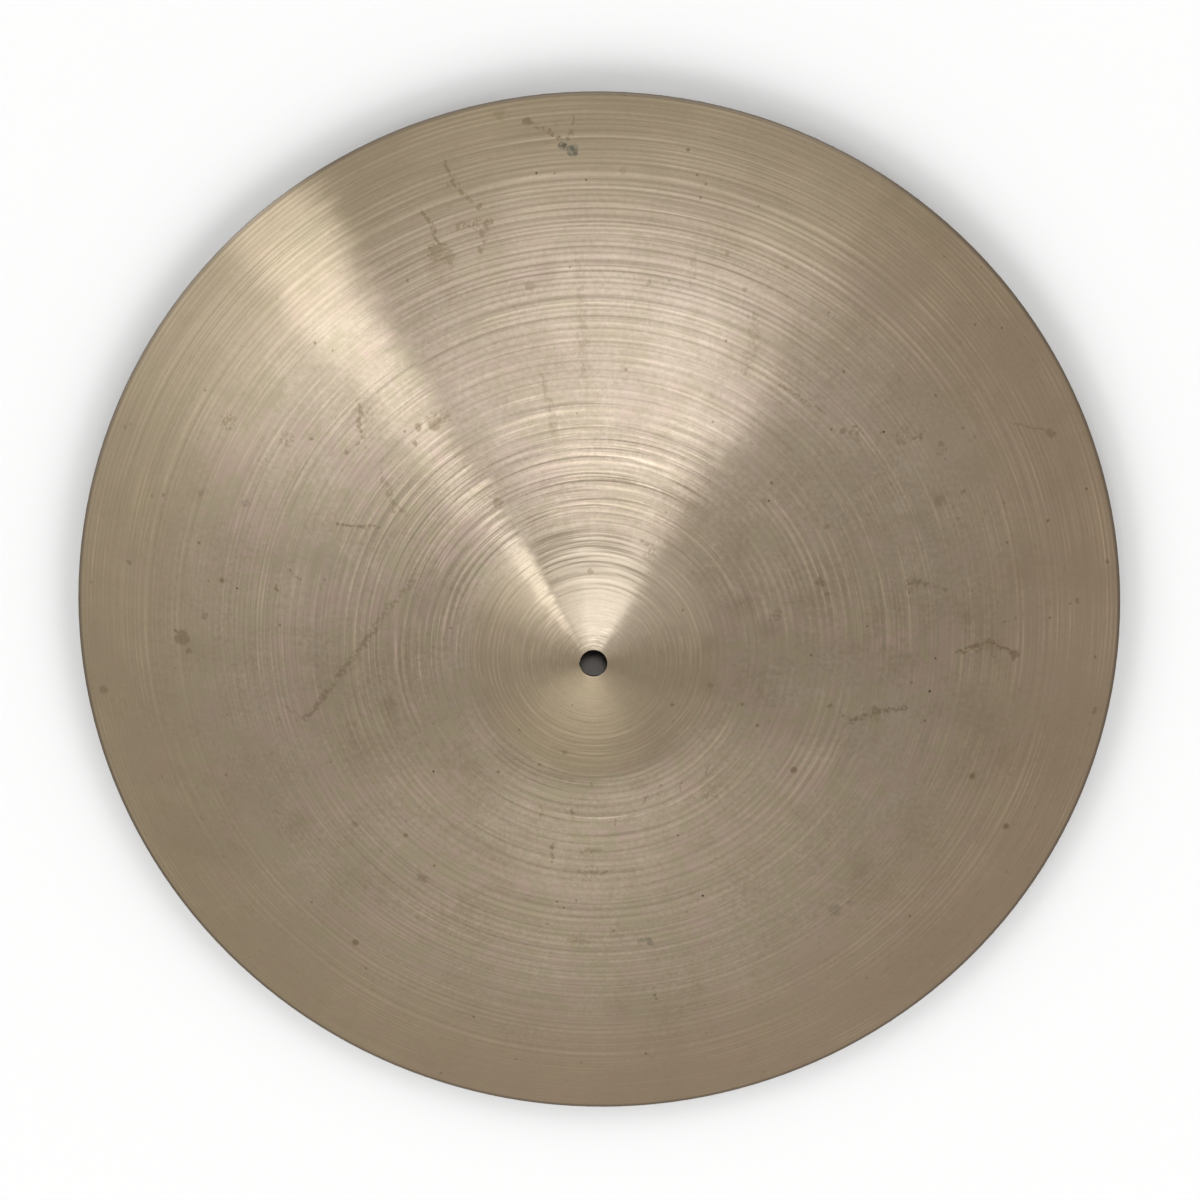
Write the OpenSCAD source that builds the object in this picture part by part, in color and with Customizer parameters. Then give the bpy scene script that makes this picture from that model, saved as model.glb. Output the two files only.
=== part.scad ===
// Crash cymbal: one disc of cast, rolled, hammered and turned bronze, bell upwards.
// Millimetres. The origin is on the axis, in the plane that the rim rests on.
// +Z runs up through the bell.

/* [Disc] */
// Diameter over the rim
cymbal_d = 457; // [300:1:560]
// Height of the underside of the bow at the axis, as if there were no bell
bow_h = 19.5; // [10:0.5:30]
// Roundness of the bow: 2 is a parabola, more is flatter inside and steeper at the rim
bow_power = 2.6; // [2:0.1:4]

/* [Bell] */
// Diameter at the foot of the bell
bell_d = 110; // [80:1:150]
// Rise of the bell above the bow
bell_rise = 14; // [6:0.5:24]
// Softness of the hollow where the bell runs into the bow
bell_blend = 2.5; // [1:0.5:6]

/* [Hole] */
// Diameter of the hole for the stand's sleeve
hole_d = 11.3; // [9:0.1:14]
// Depth of the broken edge at each mouth of the hole
hole_deburr = 0.1; // [0.05:0.05:0.3]

/* [Metal] */
// Thickness of the sheet at the hole
crown_t = 1.5; // [1.2:0.1:2.5]
// Thickness of the sheet at the rim
rim_t = 0.8; // [0.7:0.1:1.5]
// Radius of the rim's two worn corners
rim_round = 0.25; // [0.1:0.05:0.3]
// Width of the narrow flat worn under the rim, which it stands on
rim_land = 0.5; // [0.3:0.1:1]

/* [Hidden] */
$fn = 180;

rim_r = cymbal_d / 2;
bell_r = bell_d / 2;
hole_r = hole_d / 2;
// The curved underside runs from the mouth of the hole to the flat under the rim.
mouth_r = hole_r + hole_deburr;
land_out_r = rim_r - rim_round;
land_in_r = land_out_r - rim_land;
// The bell and the hollow around it curve more tightly than the bow, so they get closer points.
bell_zone_r = 1.4 * bell_r;
bell_steps = 24;
bow_steps = 22;
corner_steps = 4;
// Half the radial distance over which a slope is measured
slope_step = 0.05;

// A ramp that is 0 below x = 0 and x above it, with a smooth bend of the given width.
function soft_ramp(x, width) = (x + sqrt(x * x + width * width)) / 2;

// The bow alone, from bow_h at the axis to 0 at the inner edge of the flat.
function bow_z(r) = bow_h * (1 - pow(r / land_in_r, bow_power));

// The bell alone, as its height above the bow.
function bell_z(r) = soft_ramp(bell_rise * (1 - pow(r / bell_r, 2)), bell_blend);

// What the bell's bend still adds at the rim, taken off so that the rim lies in the plane z = 0.
bell_tail = bell_z(land_in_r);

// Underside of the sheet.
function under_z(r) = bow_z(r) + bell_z(r) - bell_tail;

function slope(r) = (under_z(r + slope_step) - under_z(r - slope_step)) / (2 * slope_step);

// Thickness square to the sheet: it thins evenly from the hole to the rim.
function sheet_t(r) = crown_t + (rim_t - crown_t) * r / rim_r;

// Top of the sheet. The slope turns a thickness square to the sheet into an upright one.
function top_z(r) = under_z(r) + sheet_t(r) * sqrt(1 + pow(slope(r), 2));

// Radii from the mouth of the hole to the flat, close together in the bell zone.
sheet_radii = concat(
    [for (i = [0 : bell_steps]) mouth_r + (bell_zone_r - mouth_r) * i / bell_steps],
    [for (i = [1 : bow_steps]) bell_zone_r + (land_in_r - bell_zone_r) * i / bow_steps]
);
last = len(sheet_radii) - 1;

// Quarter arc of a rim corner about (land_out_r, z), from one angle to the other.
function corner(z, from, to) = [
    for (i = [0 : corner_steps])
        let (angle = from + (to - from) * i / corner_steps)
            [land_out_r + rim_round * cos(angle), z + rim_round * sin(angle)]
];

// Half section of the sheet in the (radius, height) plane, closed through the wall of the hole.
section = concat(
    [[hole_r, under_z(mouth_r) + hole_deburr]],
    [for (r = sheet_radii) [r, under_z(r)]],
    corner(rim_round, -90, 0),
    corner(top_z(land_in_r) - rim_round, 0, 90),
    [for (i = [last : -1 : 0]) [sheet_radii[i], top_z(sheet_radii[i])]],
    [[hole_r, top_z(mouth_r) - hole_deburr]]
);

// The whole cymbal is one turned sheet: bell, bow and rim are regions of it, not parts.
module cymbal()
{
    color("#b09a72")
        rotate_extrude()
            polygon(section);
}

cymbal();
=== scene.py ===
import math

import bpy
import numpy as np
from mathutils import Matrix, Vector

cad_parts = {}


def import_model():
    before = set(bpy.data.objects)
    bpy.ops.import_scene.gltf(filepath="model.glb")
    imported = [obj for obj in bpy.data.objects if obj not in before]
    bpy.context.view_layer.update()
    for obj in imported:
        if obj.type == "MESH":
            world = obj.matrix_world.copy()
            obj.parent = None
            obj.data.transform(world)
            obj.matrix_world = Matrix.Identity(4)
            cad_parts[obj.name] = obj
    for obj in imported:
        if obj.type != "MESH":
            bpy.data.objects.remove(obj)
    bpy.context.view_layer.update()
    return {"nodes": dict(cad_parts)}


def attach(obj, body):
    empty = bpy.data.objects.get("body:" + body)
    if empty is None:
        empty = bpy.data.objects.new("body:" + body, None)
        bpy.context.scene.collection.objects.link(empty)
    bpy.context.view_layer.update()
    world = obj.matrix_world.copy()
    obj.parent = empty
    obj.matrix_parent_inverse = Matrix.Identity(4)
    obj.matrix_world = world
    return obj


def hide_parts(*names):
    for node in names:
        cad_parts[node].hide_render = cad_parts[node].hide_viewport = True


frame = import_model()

MM = 0.001

# Angles in this script are in degrees clockwise from +Y, seen from above.
# Distances over the sheet and round the studio are shares of the rim's radius, RIM_R.

# ---- The sheet: sizes --------------------------------------------------------------------
SEGMENTS = 180                # steps round the axis
RINGS_PER_GROOVE = 3          # rings of vertices across one turned groove
UNDER_RING_STEP = 1.9 * MM    # between the rings of the underside
GROOVE_SEED = 11
# Along the radius: place, mean width of a groove in mm, its depth as a share of its width
GROOVE_PLACES = [0.02, 0.12, 0.22, 0.28, 0.45, 0.60, 0.86, 0.90, 1.00]
GROOVE_WIDTHS = [1.20, 1.80, 2.20, 3.70, 3.30, 2.60, 2.40, 1.80, 1.60]
GROOVE_DEPTHS = [.024, .038, .058, .084, .054, .050, .028, .022, .018]
HAMMER_SEED = 5
HAMMER_BLOWS = 420            # shallow dents over the bow
HAMMER_DEPTH = 0.05 * MM
HAMMER_SIZES = (9, 16)        # mm
# A worn notch in the hole's edge: angle, half width in degrees, depth, how far it reaches outwards
NICK_ANGLE, NICK_WIDTH, NICK_DEPTH, NICK_REACH = -98.0, 9.0, 0.35 * MM, 1.5 * MM

# ---- The camera, fitted to the view ------------------------------------------------------
CAMERA_PLACE = (0.0015, 0.5854, 2.3323)
CAMERA_TILT, CAMERA_ROLL = 12.11, 5.0
CAMERA_LENS, SENSOR = 37.385, 36.0

# ---- The studio --------------------------------------------------------------------------
FLOOR_HALF_SIDE = 6.0         # metres
FLOOR_GAP = 7 * MM            # from the rim down to the floor
PANEL_HALF_SIDE = 3.6
PANEL_HEIGHT = 2.4
PANEL_POLE = (0.0, -0.60)     # the point of the panel that its lights are laid out round
DOME_LIGHT = 0.44
DOME_COLOR = (1.03, 1.0, 0.96, 1)
BACKDROP_LIGHT = 1.1          # as the camera sees it
FLOOR_SUNS = 8                # spread evenly round the cymbal
FLOOR_SUN_TILT, FLOOR_SUN_SPREAD = 70, 30
FLOOR_SUN_POWER, FLOOR_SUN_FALL = 2.7, 0.3    # mean power; how much weaker it gets towards +Y
HOLE_LAMP_POWER, HOLE_LAMP_CONE = 25.0, 6
HOLE_LAMP_COLOR = (1.0, 0.92, 0.84)
HOLE_LAMP_SIZE = 80 * MM
HOLE_LAMP_TILT, HOLE_LAMP_DISTANCE = 19, 0.6  # degrees; metres from the hole


def direction(angle):
    a = math.radians(angle)
    return np.array([math.sin(a), math.cos(a)])


def rise(x, start, width):
    """0 up to the start, then evenly up to 1 over the width."""
    return np.clip((x - start) / width, 0, 1)


def fall(x, end, width):
    """1, then evenly down to 0 over the width before the end."""
    return np.clip((end - x) / width, 0, 1)


# ---- The sheet ---------------------------------------------------------------------------
SAME_RADIUS = 0.01 * MM       # vertices this close to each other lie on one circle


def cad_section():
    """Radii of the CAD sheet's section, hole to rim, with the heights of its underside and top."""
    co = np.array([v.co for v in frame["nodes"]["cymbal"].data.vertices])
    distance = np.hypot(co[:, 0], co[:, 1])
    radii = [distance.min()]
    for r in np.sort(distance):
        if r - radii[-1] > SAME_RADIUS:
            radii.append(r)
    rows = []
    for r in radii:
        z = co[np.abs(distance - r) < SAME_RADIUS, 2]
        rows.append((r, z.min(), z.max()))
    return np.array(rows).T


SECTION_R, UNDER_Z, TOP_Z = cad_section()
HOLE_R, RIM_R = SECTION_R[0], SECTION_R[-1]
CORNER_POINTS = 5             # points of the section's corner arcs, which stay as they are
FACE = slice(1, -CORNER_POINTS)   # the rest of the section, between the hole and the arcs
FOOT_SOFTNESS = 5 * MM        # how far the hollow at the foot of the bell is drawn out
FOOT_WEIGHTS = [1, 4, 6, 4, 1]    # of the heights that are averaged, a step of FOOT_SOFTNESS apart


def through(x, knots, values):
    """A smooth curve through the knots, with slopes taken from their neighbours."""
    slopes = np.gradient(values, knots)
    i = np.clip(np.searchsorted(knots, x) - 1, 0, len(knots) - 2)
    step = knots[i + 1] - knots[i]
    t = (x - knots[i]) / step
    return (
        (2 * t**3 - 3 * t**2 + 1) * values[i]
        + (t**3 - 2 * t**2 + t) * step * slopes[i]
        + (3 * t**2 - 2 * t**3) * values[i + 1]
        + (t**3 - t**2) * step * slopes[i + 1]
    )


def softened(radii, heights):
    """Height along the radius with the hollow at the foot of the bell drawn out a little."""
    mean = 0.0
    for step, weight in zip([-2, -1, 0, 1, 2], FOOT_WEIGHTS):
        shifted = radii + step * FOOT_SOFTNESS
        mean = mean + through(shifted, SECTION_R[FACE], heights[FACE]) * weight / sum(FOOT_WEIGHTS)
    smooth = through(radii, SECTION_R[FACE], heights[FACE])
    rho = radii / RIM_R
    return smooth + (mean - smooth) * rise(rho, 0.07, 0.05) * fall(rho, 0.5, 0.2)


def turned_grooves(inner, outer):
    """Rings of the top: radius, drop below the smooth sheet, and how strongly its crest is painted as a
    highlight.
    """
    rng = np.random.default_rng(GROOVE_SEED)
    edges = [inner]
    while edges[-1] < outer:
        width = np.interp(edges[-1] / RIM_R, GROOVE_PLACES, GROOVE_WIDTHS) * MM
        edges.append(edges[-1] + width * rng.uniform(0.6, 1.4))
    edges = inner + (np.array(edges) - inner) * (outer - inner) / (edges[-1] - inner)
    radii, drops, crests = [], [], []
    for start, stop in zip(edges[:-1], edges[1:]):
        share = np.interp(start / RIM_R, GROOVE_PLACES, GROOVE_DEPTHS)
        depth = (stop - start) * share * rng.uniform(0.3, 1.4)
        crest_sheen = rng.uniform(0.2, 1.0)
        for k in range(RINGS_PER_GROOVE):
            radii.append(start + (stop - start) * k / RINGS_PER_GROOVE)
            drops.append(depth if k else 0.0)
            crests.append(0.0 if k else crest_sheen)
    return np.array(radii + [outer]), np.array(drops + [0.0]), np.array(crests + [0.0])


def hammering(x, y):
    """Height of the shallow, overlapping dents that the hammer leaves in the bow."""
    rng = np.random.default_rng(HAMMER_SEED)
    height = np.zeros_like(x)
    for _ in range(HAMMER_BLOWS):
        place = direction(rng.uniform(0, 360)) * RIM_R * math.sqrt(rng.uniform(0.07, 0.98))
        size = rng.uniform(*HAMMER_SIZES) * MM
        depth = HAMMER_DEPTH * rng.uniform(-0.6, 1.0)
        height -= depth * np.exp(-((x - place[0]) ** 2 + (y - place[1]) ** 2) / (2 * size**2))
    rho = np.hypot(x, y) / RIM_R
    return height * rise(rho, 0.24, 0.1) * fall(rho, 0.99, 0.05)


def nick(theta, radii):
    """How much the worn notch adds to the radii, for each ring and each step round the axis."""
    off = (np.degrees(math.pi / 2 - theta) - NICK_ANGLE + 180) % 360 - 180
    near_hole = fall(radii, HOLE_R + NICK_REACH, NICK_REACH)
    return near_hole[:, None] * NICK_DEPTH * np.exp(-((off / NICK_WIDTH) ** 2))


def ring_mesh(name, radii, heights, marks):
    """One closed sheet from a loop of rings, each a radius and a height, with marks for its shader."""
    theta = np.arange(SEGMENTS) * 2 * math.pi / SEGMENTS
    count = len(radii)
    r = radii[:, None] + nick(theta, radii)
    x, y = r * np.cos(theta), r * np.sin(theta)
    z = heights[:, None] + hammering(x, y)
    verts = np.stack([x, y, z], axis=-1).reshape(-1, 3)
    i, j = np.meshgrid(np.arange(count), np.arange(SEGMENTS), indexing="ij")
    ni, nj = (i + 1) % count, (j + 1) % SEGMENTS
    corners = [i * SEGMENTS + j, i * SEGMENTS + nj, ni * SEGMENTS + nj, ni * SEGMENTS + j]
    mesh = bpy.data.meshes.new(name)
    mesh.from_pydata(verts.tolist(), [], np.stack(corners, axis=-1).reshape(-1, 4).tolist())
    mesh.shade_smooth()
    for mark, values in marks.items():
        layer = mesh.attributes.new(mark, "FLOAT", "POINT")
        layer.data.foreach_set("value", np.repeat(values.astype(np.float32), SEGMENTS))
    mesh.update()
    return mesh


def build_sheet():
    inner, outer = SECTION_R[1], SECTION_R[-CORNER_POINTS - 1]
    arc = slice(-CORNER_POINTS, None)
    top_r, drop, crest = turned_grooves(inner, outer)
    top_z = softened(top_r, TOP_Z) - drop
    under_r = np.linspace(inner, outer, int((outer - inner) / UNDER_RING_STEP))
    under_z = softened(under_r, UNDER_Z)
    radii = np.concatenate(
        [[HOLE_R], under_r, SECTION_R[arc], SECTION_R[arc][::-1], top_r[::-1], [HOLE_R]]
    )
    heights = np.concatenate(
        [[UNDER_Z[0]], under_z, UNDER_Z[arc], TOP_Z[arc][::-1], top_z[::-1], [TOP_Z[0]]]
    )
    under = np.zeros(len(radii))
    under[: 1 + len(under_r) + CORNER_POINTS] = 1.0
    crests = np.zeros(len(radii))
    crests[-1 - len(top_r) : -1] = crest[::-1]
    mesh = ring_mesh("cymbal_sheet", radii, heights, {"underside": under, "crest": crests})
    obj = bpy.data.objects.new("cymbal_sheet", mesh)
    bpy.context.scene.collection.objects.link(obj)
    return obj


# ---- Shader nodes ------------------------------------------------------------------------
class Graph:
    """Adds nodes to a node tree. An input is a number, a tuple or another node's output."""

    def __init__(self, tree):
        self.tree = tree

    def feed(self, socket, value):
        if isinstance(value, bpy.types.NodeSocket):
            self.tree.links.new(value, socket)
        else:
            socket.default_value = value

    def add(self, kind, inputs, **settings):
        node = self.tree.nodes.new("ShaderNode" + kind)
        for name, value in settings.items():
            setattr(node, name, value)
        for key, value in inputs.items():
            self.feed(node.inputs[key], value)
        return node

    def math(self, operation, a, b=0.0, c=0.0):
        return self.add("Math", {0: a, 1: b, 2: c}, operation=operation).outputs[0]

    def sum(self, *values):
        total = values[0]
        for value in values[1:]:
            total = self.math("ADD", total, value)
        return total

    def times(self, a, b):
        return self.math("MULTIPLY", a, b)

    def most(self, a, b):
        return self.math("MAXIMUM", a, b)

    def less(self, a, b):
        return self.math("SUBTRACT", a, b)

    def vec(self, operation, a, b=(0.0, 0.0, 0.0), scale=1.0):
        other = {"Scale": scale} if operation == "SCALE" else {1: b}
        node = self.add("VectorMath", {0: a, **other}, operation=operation)
        is_number = operation in ("LENGTH", "DOT_PRODUCT", "DISTANCE")
        return node.outputs["Value" if is_number else "Vector"]

    def clamp(self, value):
        return self.add("Clamp", {"Value": value}).outputs[0]

    def ramp(self, value, low, high, to_low=0.0, to_high=1.0):
        """A smooth step from to_low, where the value is low, to to_high, where it is high."""
        inputs = {"Value": value, "From Min": low, "From Max": high, "To Min": to_low, "To Max": to_high}
        return self.add("MapRange", inputs, interpolation_type="SMOOTHSTEP").outputs["Result"]

    def noise(self, vector, scale, detail=2.0, w=0.0, roughness=0.5):
        inputs = {"Vector": vector, "W": w, "Scale": scale, "Detail": detail, "Roughness": roughness}
        return self.add("TexNoise", inputs, noise_dimensions="4D").outputs["Fac"]

    def mix(self, factor, a, b):
        node = self.add("Mix", {0: factor, 6: a, 7: b}, data_type="RGBA")
        return node.outputs[2]

    def curve(self, value, points):
        """Straight lines through (x, y) points, x from 0 to 1."""
        node = self.add("ValToRGB", {0: value})
        ramp = node.color_ramp
        while len(ramp.elements) < len(points):
            ramp.elements.new(1.0)
        for element, (x, y) in zip(ramp.elements, points):
            element.position = x
            element.color = (y, y, y, 1)
        return node.outputs[0]


def new_material(name):
    material = bpy.data.materials.new(name)
    material.use_nodes = True
    return material, Graph(material.node_tree), material.node_tree.nodes["Principled BSDF"]


# ---- Marks on the bronze -----------------------------------------------------------------
# Places are (angle, share of the radius); sizes are in mm; strength 1 is as dark as the stain gets.
VERDIGRIS_SPOTS = [
    ((-7.4, 0.900), 2.9, 1.00), ((-8.4, 0.909), 1.8, 0.85), ((-7.8, 0.921), 0.8, 0.65),
    ((-90.1, 0.737), 1.5, 0.35), ((133.2, 0.706), 3.4, 0.35), ((130.6, 0.716), 2.2, 0.30),
    ((72.3, 0.610), 2.2, 0.30), ((-71.5, 0.704), 2.4, 0.25), ((-90.1, 0.739), 1.8, 0.35),
    ((75.4, 0.977), 1.2, 0.50), ((164.8, 0.598), 2.4, 0.55), ((166.4, 0.596), 1.8, 0.45),
]
BROWN_SPOTS = [
    ((-12.1, 0.956), 1.8, 0.75), ((-14.8, 0.977), 2.6, 0.35), ((-1.7, 0.867), 2.0, 0.30),
    ((-19.2, 0.828), 1.3, 0.55), ((-20.3, 0.757), 1.3, 0.50), ((-22.0, 0.882), 1.1, 0.45),
    ((-31.1, 0.753), 0.9, 0.50), ((-93.7, 0.786), 3.9, 0.50), ((-95.6, 0.774), 1.5, 0.50),
    ((-83.7, 0.605), 1.3, 0.50), ((-42.3, 0.525), 1.9, 0.50), ((-44.8, 0.506), 1.1, 0.55),
    ((-52.6, 0.578), 1.0, 0.50), ((66.7, 0.437), 2.4, 0.50), ((70.4, 0.442), 1.2, 0.40),
    ((80.2, 0.702), 2.0, 0.30), ((85.8, 0.792), 2.3, 0.55), ((83.5, 0.738), 1.4, 0.50),
    ((97.8, 0.453), 1.1, 0.50), ((79.4, 0.914), 1.1, 0.50), ((-148.5, 0.570), 2.4, 0.45),
    ((-131.7, 0.581), 1.8, 0.40), ((99.2, 0.221), 1.3, 0.50), ((-7.2, 0.166), 1.6, 0.40),
    ((42.7, 0.608), 1.6, 0.50), ((43.4, 0.629), 1.1, 0.50), ((50.6, 0.704), 1.0, 0.50),
    ((-69.7, 0.968), 1.3, 0.35), ((-75.3, 0.856), 1.0, 0.45), ((-73.1, 0.788), 1.6, 0.35),
    ((-84.7, 0.897), 1.4, 0.45), ((-109.5, 0.398), 3.2, 0.25), ((-100.6, 0.964), 2.4, 0.40),
    ((59.2, 0.929), 2.4, 0.45), ((60.7, 0.691), 2.8, 0.40), ((79.4, 0.695), 2.2, 0.35),
    ((92.7, 0.972), 1.5, 0.45), ((42.3, 0.419), 2.0, 0.35), ((53.6, 0.738), 1.3, 0.40),
    ((-14.7, 0.676), 2.4, 0.30), ((3.4, 0.678), 1.4, 0.35), ((13.1, 0.759), 1.5, 0.35),
    ((17.3, 0.711), 1.4, 0.40), ((-39.2, 0.511), 3.0, 0.45), ((176.4, 0.255), 0.8, 0.50),
    ((-175.2, 0.560), 1.3, 0.40), ((61.0, 0.740), 1.4, 0.40), ((43.6, 0.615), 0.9, 0.45),
    ((46.9, 0.660), 0.8, 0.45), ((48.8, 0.697), 0.7, 0.40), ((50.8, 0.713), 1.0, 0.45),
    ((55.6, 0.734), 0.7, 0.40), ((49.8, 0.675), 0.6, 0.40), ((53.2, 0.786), 0.9, 0.45),
    ((55.0, 0.801), 0.7, 0.40), ((-55.4, 0.586), 1.2, 0.45), ((-57.7, 0.649), 0.8, 0.40),
    ((-75.9, 0.876), 0.8, 0.35), ((-83.2, 0.607), 0.8, 0.45), ((64.6, 0.716), 0.7, 0.40),
    ((86.0, 0.755), 0.6, 0.45), ((86.3, 0.791), 1.2, 0.50), ((81.0, 0.770), 0.7, 0.40),
    ((80.6, 0.791), 0.8, 0.35), ((94.2, 0.966), 0.8, 0.45), ((102.5, 0.838), 0.6, 0.45),
    ((99.6, 0.481), 0.8, 0.45), ((64.8, 0.803), 0.8, 0.35),
]
# Patches of fine squiggles: place, radius, strength
SPECKLED_PATCHES = [
    ((-62.5, 0.795), 4.6, 0.45), ((-59.9, 0.686), 3.8, 0.45), ((-64.9, 0.705), 3.2, 0.30),
    ((44.6, 0.622), 3.4, 0.45), ((49.4, 0.690), 4.4, 0.35), ((54.2, 0.732), 3.0, 0.35),
    ((23.2, 0.218), 3.4, 0.45), ((136.0, 0.347), 5.0, 0.40), ((142.7, 0.339), 3.4, 0.35),
    ((97.6, 0.543), 4.2, 0.50), ((101.0, 0.500), 2.6, 0.45), ((72.6, 0.600), 3.6, 0.40),
    ((84.6, 0.715), 4.2, 0.40), ((-48.5, 0.607), 4.4, 0.40), ((-38.6, 0.515), 4.4, 0.40),
    ((-19.6, 0.790), 4.2, 0.35), ((178.0, 0.590), 4.6, 0.30), ((176.0, 0.440), 5.0, 0.35),
]
# Broad, soft smudges: place, radius, strength
SMUDGES = [
    ((66.0, 0.288), 6.5, 0.17), ((78.8, 0.212), 4.5, 0.15), ((100.3, 0.221), 5.5, 0.15),
    ((-110.5, 0.401), 5.0, 0.16), ((76.0, 0.325), 6.0, 0.15), ((61.9, 0.639), 4.5, 0.12),
    ((-73.3, 0.795), 5.0, 0.12), ((156.4, 0.269), 5.0, 0.13), ((132.1, 0.336), 7.0, 0.13),
    ((-144.1, 0.259), 6.0, 0.10), ((171.3, 0.751), 6.5, 0.11), ((125.5, 0.678), 7.0, 0.11),
    ((-125.7, 0.669), 6.5, 0.11), ((100.8, 0.809), 6.0, 0.12), ((60.4, 0.691), 5.0, 0.15),
    ((79.4, 0.695), 4.5, 0.14), ((-26.0, 0.760), 8.0, 0.12), ((-12.0, 0.700), 6.5, 0.10),
    ((13.5, 0.905), 5.0, 0.12), ((84.5, 0.750), 5.5, 0.13), ((-95.0, 0.770), 6.5, 0.10),
]
PITS = [
    ((-132.1, 0.386), 0.55), ((-11.7, 0.866), 0.50), ((-5.9, 0.848), 0.45), ((-176.5, 0.508), 0.45),
    ((-178.2, 0.520), 0.45), ((151.8, 0.532), 0.65), ((151.1, 0.394), 0.50), ((86.1, 0.638), 0.50),
    ((91.9, 0.635), 0.65), ((-85.0, 0.680), 0.50), ((47.0, 0.664), 0.50), ((42.9, 0.427), 0.45),
]
# Round stains with a darker edge: place, radius
RING_STAINS = [((-26.0, 0.777), 3.6), ((-24.9, 0.761), 2.6), ((-36.7, 0.334), 1.5)]
# Lines of stain: width, strength and the places they run through
STAIN_LINES = [
    (2.2, 0.35, [(-71.7, 0.362), (-84.0, 0.396), (-94.1, 0.439), (-103.4, 0.509)]),
    (1.7, 0.45, [(-88.0, 0.409), (-94.1, 0.439), (-103.4, 0.509), (-108.7, 0.567)]),
    (0.9, 0.35, [(-108.7, 0.567), (-104.9, 0.605)]),
    (1.4, 0.80, [(-12.1, 0.956), (-9.2, 0.927), (-8.3, 0.909)]),
    (1.0, 0.55, [(-7.0, 0.958), (-7.6, 0.928)]),
    (1.4, 0.65, [(-26.1, 0.851), (-25.4, 0.826), (-25.3, 0.790)]),
    (1.4, 0.60, [(-21.7, 0.917), (-21.2, 0.880), (-20.1, 0.842)]),
    (1.8, 0.55, [(-22.5, 0.807), (-18.4, 0.800), (-19.7, 0.783), (-19.6, 0.768)]),
    (1.6, 0.55, [(-47.9, 0.622), (-50.3, 0.601), (-51.3, 0.580)]),
    (1.1, 0.55, [(-68.1, 0.533), (-64.0, 0.459)]),
    (1.2, 0.35, [(-53.5, 0.517), (-57.0, 0.478), (-57.8, 0.430)]),
    (1.7, 0.65, [(85.2, 0.680), (84.4, 0.710), (83.5, 0.738), (84.8, 0.765), (85.8, 0.792)]),
    (1.2, 0.50, [(72.1, 0.592), (72.3, 0.617), (74.9, 0.661)]),
    (1.8, 0.60, [(95.5, 0.594), (97.2, 0.540), (100.2, 0.502)]),
    (0.8, 0.70, [(-172.9, 0.392), (-173.7, 0.427)]),
    (0.9, 0.45, [(28.9, 0.594), (38.4, 0.607)]),
    (1.4, 0.40, [(-179.8, 0.590), (175.6, 0.588)]),
    (1.6, 0.45, [(178.8, 0.394), (173.6, 0.393)]),
    (1.4, 0.50, [(179.0, 0.438), (172.3, 0.440)]),
    (1.6, 0.40, [(17.2, 0.232), (24.3, 0.230)]),
    (2.4, 0.40, [(-39.6, 0.516), (-36.0, 0.511)]),
    (1.6, 0.35, [(-54.6, 0.497), (-58.6, 0.452)]),
    (3.0, 0.35, [(74.7, 0.327), (72.0, 0.350)]),
    (3.4, 0.21, [(-7.2, 0.717), (-6.9, 0.615), (-7.2, 0.549), (-6.5, 0.512)]),
    (2.4, 0.25, [(8.7, 0.729), (9.7, 0.695)]),
    (3.2, 0.22, [(19.7, 0.675), (21.7, 0.638), (22.6, 0.586)]),
    (2.0, 0.24, [(-15.6, 0.521), (-14.4, 0.451), (-15.0, 0.406)]),
    (0.8, 0.60, [(151.5, 0.300), (148.5, 0.288)]),
    (0.8, 0.55, [(144.0, 0.312), (141.0, 0.297)]),
    (0.8, 0.55, [(158.0, 0.310), (155.5, 0.296)]),
    (0.7, 0.55, [(-177.0, 0.310), (-177.5, 0.326)]),
    (0.7, 0.55, [(168.0, 0.330), (168.5, 0.347)]),
    (0.7, 0.50, [(-166.5, 0.322), (-167.0, 0.340)]),
    (0.8, 0.50, [(133.0, 0.316), (130.0, 0.303)]),
    (0.8, 0.45, [(-79.5, 0.588), (-81.0, 0.566)]),
    (0.8, 0.45, [(56.0, 0.870), (59.5, 0.936)]),
]


def place(mark):
    angle, share = mark
    x, y = direction(angle) * share * RIM_R
    return float(x), float(y), 0.0


# ---- Bronze: colours and finish ----------------------------------------------------------
CLEAN_BRONZE = (0.608, 0.500, 0.378, 1)
DARK_BRONZE = (0.465, 0.368, 0.256, 1)
PINK_BRONZE = (0.574, 0.436, 0.342, 1)
OLIVE_BRONZE = (0.517, 0.432, 0.294, 1)
RED_RIM = (0.548, 0.414, 0.282, 1)
YELLOW_RIM = (0.562, 0.452, 0.296, 1)
# painted shade for the rim's very edge
EDGE_SHADE = (0.150, 0.125, 0.105, 1)
# the bell's colour on the side of the light's reflection, a painted highlight, and at its darker sides
BELL_HIGHLIGHT = (0.742, 0.622, 0.460, 1)
DARKER_BELL = (0.532, 0.427, 0.288, 1)
YELLOW_BELL = (0.680, 0.548, 0.360, 1)
BROWN_STAIN = (0.215, 0.145, 0.062, 1)
GREEN_STAIN = (0.120, 0.125, 0.095, 1)
PIT = (0.020, 0.016, 0.012, 1)
# Directions from the axis towards the side where a highlight is painted into the colour, and towards the
# redder side
HIGHLIGHT_SIDE = (0.26, 0.97, 0.0)
RED_SIDE = (0.9, -0.44, 0.0)
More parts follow.
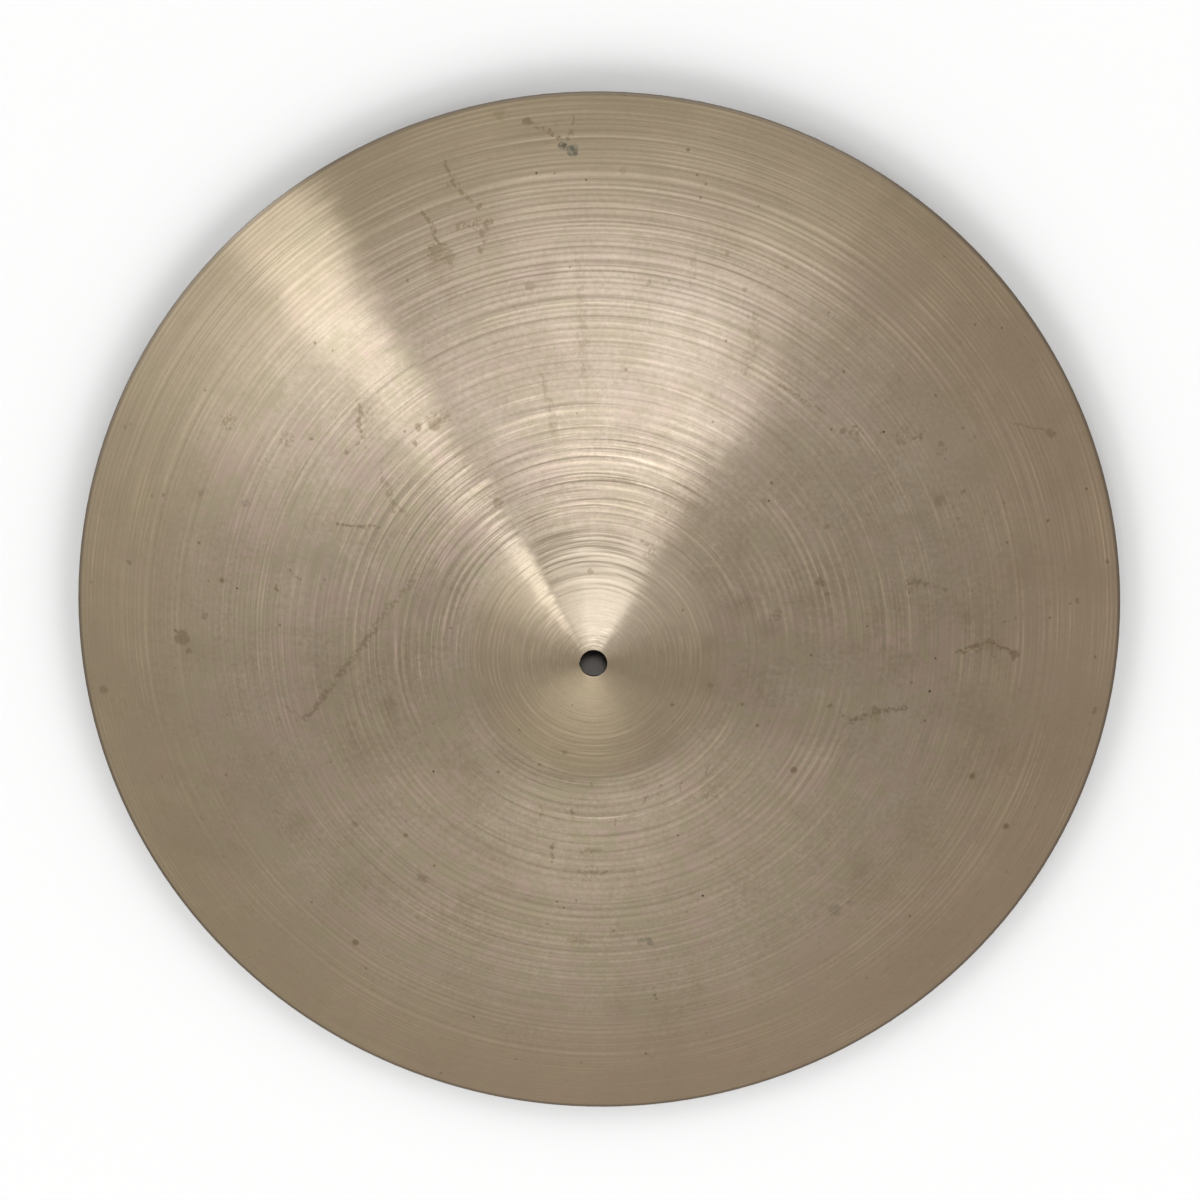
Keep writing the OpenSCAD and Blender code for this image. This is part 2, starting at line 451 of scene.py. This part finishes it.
# Three that change along the radius, as pairs of share of the radius and value:
# how brightly the painted highlights of the crests and lines show, how deep the turning lines are, how
# rough the metal is
RING_SHOW = [
    (0.03, 0.75), (0.16, 0.8), (0.25, 0.8), (0.28, 1), (0.45, 0.95), (0.5, 0.8), (0.6, 0.85),
    (0.75, 0.65), (1, 0.8)
]
RING_DEPTH = [
    (0.03, 0.22), (0.16, 0.5), (0.24, 0.9), (0.28, 0.9), (0.36, 0.9), (0.44, 0.65),
    (0.52, 0.45), (0.64, 0.5), (0.72, 0.4), (0.88, 0.35), (1, 0.3)
]
ROUGHNESS = [(0.03, 0.17), (0.2, 0.17), (0.26, 0.20), (1, 0.20)]
# Slopes: of the broad and fine turning lines along the radius, and of short and long waves round it
BROAD_TILT, FINE_TILT = 0.60, 0.80
SHORT_WAVE_TILT, LONG_WAVE_TILT = 0.04, 0.03
# How much brighter than the grooves the crests, the fine lines and the broad lines are painted, as
# highlights, and how dark the grooves are painted, as shade
CREST_LIGHT, FINE_LIGHT, BROAD_LIGHT = 0.30, 0.22, 0.20
GROOVE_SHADE = 0.93
# Noise scales, in cells per metre: outlines of stains, gaps in them, squiggles
WOBBLE_SCALE, DOTS_SCALE, SQUIGGLE_SCALE = 280.0, 520.0, 420.0
WOBBLE = 4.0 * MM             # how far the outlines of the stains stray


class Sheet:
    """Where a shaded point of the sheet lies: its place, its distance from the axis and so on."""

    def __init__(self, g):
        self.place = g.vec("MULTIPLY", g.add("TexCoord", {}).outputs["Object"], (1.0, 1.0, 0.0))
        self.radius = g.vec("LENGTH", self.place)
        self.outwards = g.vec("NORMALIZE", self.place)
        self.around = g.vec("CROSS_PRODUCT", self.outwards, (0.0, 0.0, 1.0))
        self.share = g.math("DIVIDE", self.radius, RIM_R)
        self.under = g.add("Attribute", {}, attribute_name="underside").outputs["Fac"]
        # the underside takes its noise from elsewhere, so that it doesn't repeat the top's
        self.side = g.times(self.under, 40.0)
        self.solid = g.vec("ADD", self.place, g.add("CombineXYZ", {2: self.under}).outputs[0])


def rings(g, sheet, pitch, drift, key, detail=1.0):
    """Noise drawn out round the axis, -0.5 to 0.5.

    pitch is in mm across the lines, and drift is how fast they change round the axis.
    """
    across = g.sum(g.math("DIVIDE", sheet.radius, pitch * MM), sheet.side, key)
    round_axis = g.vec("SCALE", sheet.outwards, scale=drift)
    return g.less(g.noise(round_axis, 1.0, detail, across), 0.5)


def patches(g, sheet, size, key, detail=3.0, roughness=0.55):
    """Cloudy noise over the sheet, -0.5 to 0.5, with patches of about this size in mm."""
    where = g.vec("ADD", sheet.solid, (0.37 * key, 0.21 * key, 0.0))
    inputs = {"Vector": where, "Scale": 1000.0 / size, "Detail": detail, "Roughness": roughness}
    return g.less(g.add("TexNoise", inputs, noise_dimensions="3D").outputs["Fac"], 0.5)


def bent_normal(g, sheet, outward, sideways):
    """The sheet's normal, tilted by these slopes along the radius and round the axis."""
    normal = g.add("NewGeometry", {}).outputs["Normal"]
    outward = g.vec("SCALE", sheet.outwards, scale=outward)
    sideways = g.vec("SCALE", sheet.around, scale=sideways)
    return g.vec("NORMALIZE", g.vec("ADD", normal, g.vec("ADD", outward, sideways)))


# ---- Bronze: stains ----------------------------------------------------------------------
def nearest_line(g, ragged, points):
    """Distance from the ragged place to a line through the points."""
    nearest = None
    for start, end in zip(points[:-1], points[1:]):
        start, end = Vector(place(start)), Vector(place(end))
        along = end - start
        step = along / along.length_squared
        share = g.clamp(g.less(g.vec("DOT_PRODUCT", ragged, step), step.dot(start)))
        foot = g.vec("ADD", g.vec("SCALE", along, scale=share), start)
        distance = g.vec("DISTANCE", ragged, foot)
        nearest = distance if nearest is None else g.math("MINIMUM", nearest, distance)
    return nearest


def spot(g, ragged, mark, size, strength):
    """A spot with a soft edge at its radius, size in mm."""
    distance = g.vec("DISTANCE", ragged, place(mark))
    return g.ramp(distance, 0.6 * size * MM, 1.1 * size * MM, 0.8 * strength, 0.0)


def line_stains(g, ragged, dots):
    mask = 0.0
    for width, strength, points in STAIN_LINES:
        off = nearest_line(g, ragged, points)
        mask = g.most(mask, g.ramp(off, 0.4 * width * MM, width * MM, strength, 0.0))
    return g.times(mask, g.times(dots, 0.8))


def ring_stain(g, ragged, dots, mark, size):
    """A round stain that has dried darker at its edge."""
    inside = spot(g, ragged, mark, size, 0.42)
    off = g.math("ABSOLUTE", g.less(g.vec("DISTANCE", ragged, place(mark)), size * MM))
    edge = g.times(g.ramp(off, 0.2 * MM, 0.9 * MM, 0.45, 0.0), dots)
    return g.most(inside, edge)


def squiggle_stains(g, sheet, ragged):
    squiggles = g.math("ABSOLUTE", g.less(g.noise(sheet.place, SQUIGGLE_SCALE, 2.0, 5.0), 0.5))
    squiggles = g.ramp(squiggles, 0.045, 0.015)
    mask = 0.0
    for mark, size, strength in SPECKLED_PATCHES:
        mask = g.most(mask, g.times(spot(g, ragged, mark, size, strength), squiggles))
    return mask


def smudges(g, ragged):
    mask = 0.0
    for mark, size, strength in SMUDGES:
        off = g.vec("DISTANCE", ragged, place(mark))
        mask = g.most(mask, g.ramp(off, 0.2 * size * MM, 1.3 * size * MM, strength, 0.0))
    return mask


def stains(g, sheet):
    """Three masks for the top: brown stain, green stain and small dark pits."""
    wobble = g.add("TexNoise", {"Vector": sheet.place, "Scale": WOBBLE_SCALE, "Detail": 2.0})
    shift = g.vec("SUBTRACT", wobble.outputs["Color"], (0.5, 0.5, 0.5))
    shift = g.vec("SCALE", shift, scale=WOBBLE)
    ragged = g.vec("MULTIPLY", g.vec("ADD", sheet.place, shift), (1.0, 1.0, 0.0))
    dots = g.ramp(g.noise(sheet.place, DOTS_SCALE, 1.0, 3.0), 0.42, 0.56, 0.15, 1.0)
    brown = line_stains(g, ragged, dots)
    brown = g.most(brown, squiggle_stains(g, sheet, ragged))
    brown = g.most(brown, smudges(g, ragged))
    for mark, size, strength in BROWN_SPOTS:
        brown = g.most(brown, spot(g, ragged, mark, size, strength))
    for mark, size in RING_STAINS:
        brown = g.most(brown, ring_stain(g, ragged, dots, mark, size))
    green = 0.0
    for mark, size, strength in VERDIGRIS_SPOTS:
        green = g.most(green, spot(g, ragged, mark, size, strength))
    green = g.times(green, g.ramp(dots, 0.25, 1.0, 0.6, 1.0))
    pits = 0.0
    for mark, size in PITS:
        pits = g.most(pits, spot(g, sheet.place, mark, size, 1.0))
    top = g.less(1.0, sheet.under)
    return [g.times(mask, top) for mask in (brown, green, pits)]


def specks(g, sheet, spacing, share, size):
    """Small dark specks strewn over the sheet: spacing and size in mm, share of the places used."""
    lift = g.add("CombineXYZ", {2: g.times(sheet.under, 0.5)}).outputs[0]
    where = g.vec("ADD", sheet.place, lift)
    cells = g.add("TexVoronoi", {"Vector": where, "Scale": 1000.0 / spacing, "Randomness": 1.0})
    chosen = g.add("SeparateXYZ", {0: cells.outputs["Color"]})
    used = g.math("LESS_THAN", chosen.outputs[0], share)
    radius = g.times(chosen.outputs[1], size / spacing)
    near = g.ramp(cells.outputs["Distance"], radius, g.times(radius, 0.4))
    return g.times(near, used)


# ---- Bronze: the material ----------------------------------------------------------------
def turned_normal(g, sheet, broad, fine):
    """The sheet's normal with the broad and fine turning lines in it."""
    tilt = g.sum(g.times(broad, BROAD_TILT), g.times(fine, FINE_TILT))
    tilt = g.times(tilt, g.curve(sheet.share, RING_DEPTH))
    short = rings(g, sheet, 3.0, 5.0, 53.0, 2.0)
    long = patches(g, sheet, 30.0, 43.0, 2.0)
    sideways = g.sum(g.times(short, SHORT_WAVE_TILT), g.times(long, LONG_WAVE_TILT))
    return bent_normal(g, sheet, tilt, sideways)


def tarnish(g, sheet, cloud, highlight_side):
    """Clouds of brown, pink and olive on the bronze: the colour, and where the olive film is."""
    smear = rings(g, sheet, 50.0, 16.0, 71.0, 2.0)
    grain = patches(g, sheet, 2.2, 22.0, 3.0, 0.7)
    tone = g.sum(g.times(cloud, 0.7), g.times(smear, 0.2), g.times(grain, 0.60))
    color = g.mix(g.ramp(tone, -0.2, 0.2), DARK_BRONZE, CLEAN_BRONZE)
    blush = g.times(patches(g, sheet, 4.5, 29.0, 3.0, 0.7), 0.55)
    pink = g.sum(patches(g, sheet, 30.0, 8.0, 6.0, 0.72), blush)
    olive = g.less(patches(g, sheet, 22.0, 15.0, 6.0, 0.72), blush)
    # the pink and olive are thinner on the side of the painted highlight, which leaves that side lighter
    cover = g.ramp(highlight_side, 0.2, 0.95, 1.0, 0.55)
    olive_film = g.times(g.ramp(olive, -0.01, 0.13), cover)
    color = g.mix(g.times(g.ramp(pink, -0.01, 0.13), cover), color, PINK_BRONZE)
    return g.mix(olive_film, color, OLIVE_BRONZE), olive_film


def rim_and_bell(g, sheet, color, cloud, highlight_side):
    """The colour changed towards the rim, which is redder on one side, and over the bell, which has a
    highlight painted on one side, is darker at its sides and yellower on the far side.
    """
    red_side = g.vec("DOT_PRODUCT", sheet.outwards, RED_SIDE)
    rim = g.mix(g.ramp(g.sum(red_side, cloud), -0.5, 0.7), YELLOW_RIM, RED_RIM)
    color = g.mix(g.ramp(sheet.share, 0.62, 0.97, 0.0, 0.7), color, rim)
    # painted highlight: the bell is painted lighter on the side where the light's reflection falls
    bell = g.mix(g.ramp(highlight_side, 0.3, 0.95), DARKER_BELL, BELL_HIGHLIGHT)
    bell = g.mix(g.ramp(highlight_side, -0.55, -1.0), bell, YELLOW_BELL)
    return g.mix(g.ramp(sheet.share, 0.20, 0.26, 0.7, 0.0), color, bell)


def painted_ring_highlights(g, sheet, broad, fine, highlight_side):
    """Painted highlights over the turning: crests and fine lines are painted brighter than the grooves,
    which are painted darker as shade.
    """
    crest = g.add("Attribute", {}, attribute_name="crest").outputs["Fac"]
    crest_sheen = g.ramp(rings(g, sheet, 5.0, 3.0, 31.0, 2.0), -0.15, 0.1, 0.35, 1.0)
    lines = g.sum(
        g.times(g.times(crest, crest_sheen), CREST_LIGHT),
        g.ramp(fine, -0.02, 0.22, 0.0, FINE_LIGHT),
        g.times(broad, BROAD_LIGHT),
    )
    # more so in some places, along the radius and on the side of the painted highlight
    shown = g.ramp(patches(g, sheet, 45.0, 61.0, 3.0), -0.12, 0.14, 0.25, 1.15)
    shown = g.times(shown, g.curve(sheet.share, RING_SHOW))
    shown = g.times(shown, g.ramp(highlight_side, -1.0, 0.2, 0.7, 1.2))
    shown = g.times(shown, g.ramp(highlight_side, 0.75, 1.0, 1.0, 1.35))
    return g.sum(GROOVE_SHADE, g.times(shown, lines))


def bronze():
    material, g, bsdf = new_material("turned_bronze")
    sheet = Sheet(g)
    broad = rings(g, sheet, 1.5, 1.3, 31.0)
    fine = rings(g, sheet, 0.55, 2.8, 7.0, 2.0)
    cloud = patches(g, sheet, 70.0, 1.0, 6.0, 0.65)
    # the side that gets the painted highlights, towards the light's reflection, with a cloudy edge
    highlight_side = g.sum(g.vec("DOT_PRODUCT", sheet.outwards, HIGHLIGHT_SIDE), g.times(cloud, 0.5))
    g.feed(bsdf.inputs["Normal"], turned_normal(g, sheet, broad, fine))

    color, olive_film = tarnish(g, sheet, cloud, highlight_side)
    color = rim_and_bell(g, sheet, color, cloud, highlight_side)
    # painted highlights on the turning lines and painted shade in the grooves
    color = g.vec("SCALE", color, scale=painted_ring_highlights(g, sheet, broad, fine, highlight_side))
    # painted shade: the outermost edge of the rim is painted dark
    color = g.mix(g.ramp(sheet.share, 0.991, 0.998, 0.0, 0.7), color, EDGE_SHADE)
    brown, green, pits = stains(g, sheet)
    dashes = g.ramp(rings(g, sheet, 0.9, 30.0, 90.0, 1.0), 0.17, 0.26, 0.0, 0.22)
    dirt = g.times(g.most(specks(g, sheet, 8.0, 0.5, 1.1), specks(g, sheet, 21.0, 0.6, 2.4)), 0.6)
    color = g.mix(g.most(brown, g.most(dashes, dirt)), color, BROWN_STAIN)
    color = g.mix(green, color, GREEN_STAIN)
    color = g.mix(pits, color, PIT)
    g.feed(bsdf.inputs["Base Color"], color)

    # rougher where it is stained
    rough = g.sum(g.curve(sheet.share, ROUGHNESS), g.times(fine, -0.08), g.times(cloud, -0.08))
    rough = g.sum(rough, g.times(g.most(brown, green), 0.15))
    g.feed(bsdf.inputs["Roughness"], rough)
    # a thin film of tarnish scatters a little light
    g.feed(bsdf.inputs["Metallic"], g.less(1.0, g.times(olive_film, 0.12)))
    # the turning lines spread each reflection outwards and inwards, across the rings
    g.feed(bsdf.inputs["Anisotropic"], 1.0)
    g.feed(bsdf.inputs["Anisotropic Rotation"], 0.25)
    tangent = g.add("Tangent", {}, direction_type="RADIAL", axis="Z").outputs[0]
    g.feed(bsdf.inputs["Tangent"], tangent)
    return material


# ---- Stage -------------------------------------------------------------------------------
def plane(name, corners, height):
    mesh = bpy.data.meshes.new(name)
    mesh.from_pydata([(x, y, height) for x, y in corners], [], [tuple(range(len(corners)))])
    obj = bpy.data.objects.new(name, mesh)
    bpy.context.scene.collection.objects.link(obj)
    return obj


def square(half, center=(0.0, 0.0)):
    """The corners of a square round a centre."""
    corners = [(-1, -1), (1, -1), (1, 1), (-1, 1)]
    return [(center[0] + x * half, center[1] + y * half) for x, y in corners]


def floor():
    obj = plane("floor", square(FLOOR_HALF_SIDE), -FLOOR_GAP)
    material, g, bsdf = new_material("pale_floor")
    g.feed(bsdf.inputs["Base Color"], (0.35, 0.35, 0.352, 1))
    g.feed(bsdf.inputs["Roughness"], 0.9)
    g.feed(bsdf.inputs["Specular IOR Level"], 0.1)
    obj.data.materials.append(material)
    return obj


# Light that the overhead panel gives, by angle round the pole: (degrees, strength). Each kind
# grows from nothing to full over the NEAR distances from the pole and fades over the FAR ones.
PANEL_LIGHTS = {
    "window": {
        "by_angle": [
            (-38, 0), (-34, 0.75), (-20, 0.94), (-12, 1.15), (14, 1.15), (20, 1.07),
            (25, 0.9), (28.5, 0.4), (33, 0.22), (45, 0.12), (60, 0.05), (75, 0)
        ],
        "color": (0.95, 1.0, 1.12, 1),
        "near": (0.25, 0.50),
        "far": (1.3, 3.0),
    },
    "strip": {
        "by_angle": [
            (-125, 0), (-100, 0.09), (-80, 0.24), (-62, 0.66), (-49, 1.0), (-46.5, 1.75),
            (-39, 1.75), (-36, 0)
        ],
        "color": (0.945, 1.0, 1.08, 1),
        "near": (-0.6, 2.7),
        "far": (2.4, 3.9),
    },
    "fill": {
        "by_angle": [
            (-180, 0.43), (-160, 0.38), (-130, 0.22), (-105, 0), (105, 0), (130, 0.19),
            (160, 0.35), (180, 0.43)
        ],
        "color": (0.945, 1.0, 0.995, 1),
        "near": (-0.2, 0.4),
        "far": (0.0, 3.6),
    },
}
PANEL_TOP = 4.0               # a curve of a colour ramp ends at 1, which stands for this strength


def panel_light(g):
    """The colour of the panel's light at a point of it."""
    pole = (PANEL_POLE[0] * RIM_R, PANEL_POLE[1] * RIM_R, PANEL_HEIGHT * RIM_R)
    arm = g.vec("SUBTRACT", g.add("TexCoord", {}).outputs["Object"], pole)
    split = g.add("SeparateXYZ", {0: arm})
    angle = g.math("DEGREES", g.math("ARCTAN2", split.outputs[0], split.outputs[1]))
    turn = g.math("DIVIDE", g.sum(angle, 180.0), 360.0)
    distance = g.math("DIVIDE", g.vec("LENGTH", arm), RIM_R)
    light = (0.0, 0.0, 0.0)
    for kind in PANEL_LIGHTS.values():
        strength = g.curve(turn, [((a + 180) / 360, s / PANEL_TOP) for a, s in kind["by_angle"]])
        fade = g.times(g.ramp(distance, *kind["near"]), g.ramp(distance, *kind["far"][::-1]))
        power = g.times(g.times(strength, fade), PANEL_TOP)
        light = g.vec("ADD", light, g.vec("SCALE", kind["color"][:3], scale=power))
    return light


def panel():
    center = [RIM_R * v for v in PANEL_POLE]
    obj = plane("panel", square(PANEL_HALF_SIDE * RIM_R, center), PANEL_HEIGHT * RIM_R)
    material, g, bsdf = new_material("panel")
    g.tree.nodes.remove(bsdf)
    output = g.tree.nodes["Material Output"]
    # it shines downwards only, and the dome's light passes through
    down = g.add("NewGeometry", {}).outputs["Backfacing"]
    light = g.add("Emission", {"Color": panel_light(g), "Strength": down}).outputs[0]
    clear = g.add("BsdfTransparent", {}).outputs[0]
    g.feed(output.inputs["Surface"], g.add("AddShader", {0: light, 1: clear}).outputs[0])
    obj.data.materials.append(material)
    obj.visible_camera = False
    obj.visible_shadow = False
    return obj


def light_only(lamp, target):
    """Makes a lamp light one object and nothing else."""
    group = bpy.data.collections.new(lamp.name + "_lights")
    group.objects.link(target)
    lamp.light_linking.receiver_collection = group


def new_lamp(name, kind, power):
    light = bpy.data.lights.new(name, kind)
    light.energy = power
    obj = bpy.data.objects.new(name, light)
    bpy.context.scene.collection.objects.link(obj)
    return obj, light


def tilted(angle, tilt):
    """The direction at this angle round the axis and tilted this far from straight up."""
    side = direction(angle) * math.sin(math.radians(tilt))
    return Vector((side[0], side[1], math.cos(math.radians(tilt))))


def aim_from(lamp, towards_lamp):
    """Turns a lamp so that it shines against the direction that leads to it."""
    lamp.rotation_mode = "QUATERNION"
    lamp.rotation_quaternion = towards_lamp.to_track_quat("Z", "Y")


def floor_suns(target):
    """Low, wide suns all round: the sheet shades the floor near its rim from them."""
    for number in range(FLOOR_SUNS):
        angle = number * 360 / FLOOR_SUNS
        power = FLOOR_SUN_POWER * (1 - FLOOR_SUN_FALL * math.cos(math.radians(angle)))
        lamp, light = new_lamp("floor_sun", "SUN", power)
        light.angle = math.radians(FLOOR_SUN_SPREAD)
        aim_from(lamp, tilted(angle, FLOOR_SUN_TILT))
        light_only(lamp, target)


def hole_lamp(target):
    """A narrow lamp over the camera: through the hole it lights a patch of the floor below."""
    lamp, light = new_lamp("hole_lamp", "SPOT", HOLE_LAMP_POWER)
    light.color = HOLE_LAMP_COLOR
    light.spot_size = math.radians(HOLE_LAMP_CONE)
    light.shadow_soft_size = HOLE_LAMP_SIZE
    arm = tilted(0.0, HOLE_LAMP_TILT)
    lamp.location = Vector((0.0, 0.0, TOP_Z[0])) + HOLE_LAMP_DISTANCE * arm
    aim_from(lamp, arm)
    light_only(lamp, target)


def world():
    w = bpy.data.worlds.new("world")
    w.use_nodes = True
    g = Graph(w.node_tree)
    bg = w.node_tree.nodes["Background"]
    seen = g.add("LightPath", {}).outputs["Is Camera Ray"]
    g.feed(bg.inputs["Strength"], g.ramp(seen, 0.0, 1.0, DOME_LIGHT, BACKDROP_LIGHT))
    g.feed(bg.inputs["Color"], DOME_COLOR)
    bpy.context.scene.world = w


def camera():
    lens = bpy.data.cameras.new("camera")
    lens.sensor_width = SENSOR
    lens.lens = CAMERA_LENS
    lens.clip_start = 0.01
    obj = bpy.data.objects.new("camera", lens)
    bpy.context.scene.collection.objects.link(obj)
    obj.location = [RIM_R * v for v in CAMERA_PLACE]
    tilt = Matrix.Rotation(math.radians(-CAMERA_TILT), 3, "X")
    roll = Matrix.Rotation(math.radians(CAMERA_ROLL), 3, "Z")
    obj.rotation_mode = "QUATERNION"
    obj.rotation_quaternion = (tilt @ roll).to_quaternion()
    bpy.context.scene.camera = obj


sheet = build_sheet()
sheet.data.materials.append(bronze())
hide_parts("cymbal")
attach(sheet, "root")
ground = floor()
light_only(panel(), sheet)
floor_suns(ground)
hole_lamp(ground)
world()
camera()
bpy.context.scene.view_settings.view_transform = "Standard"
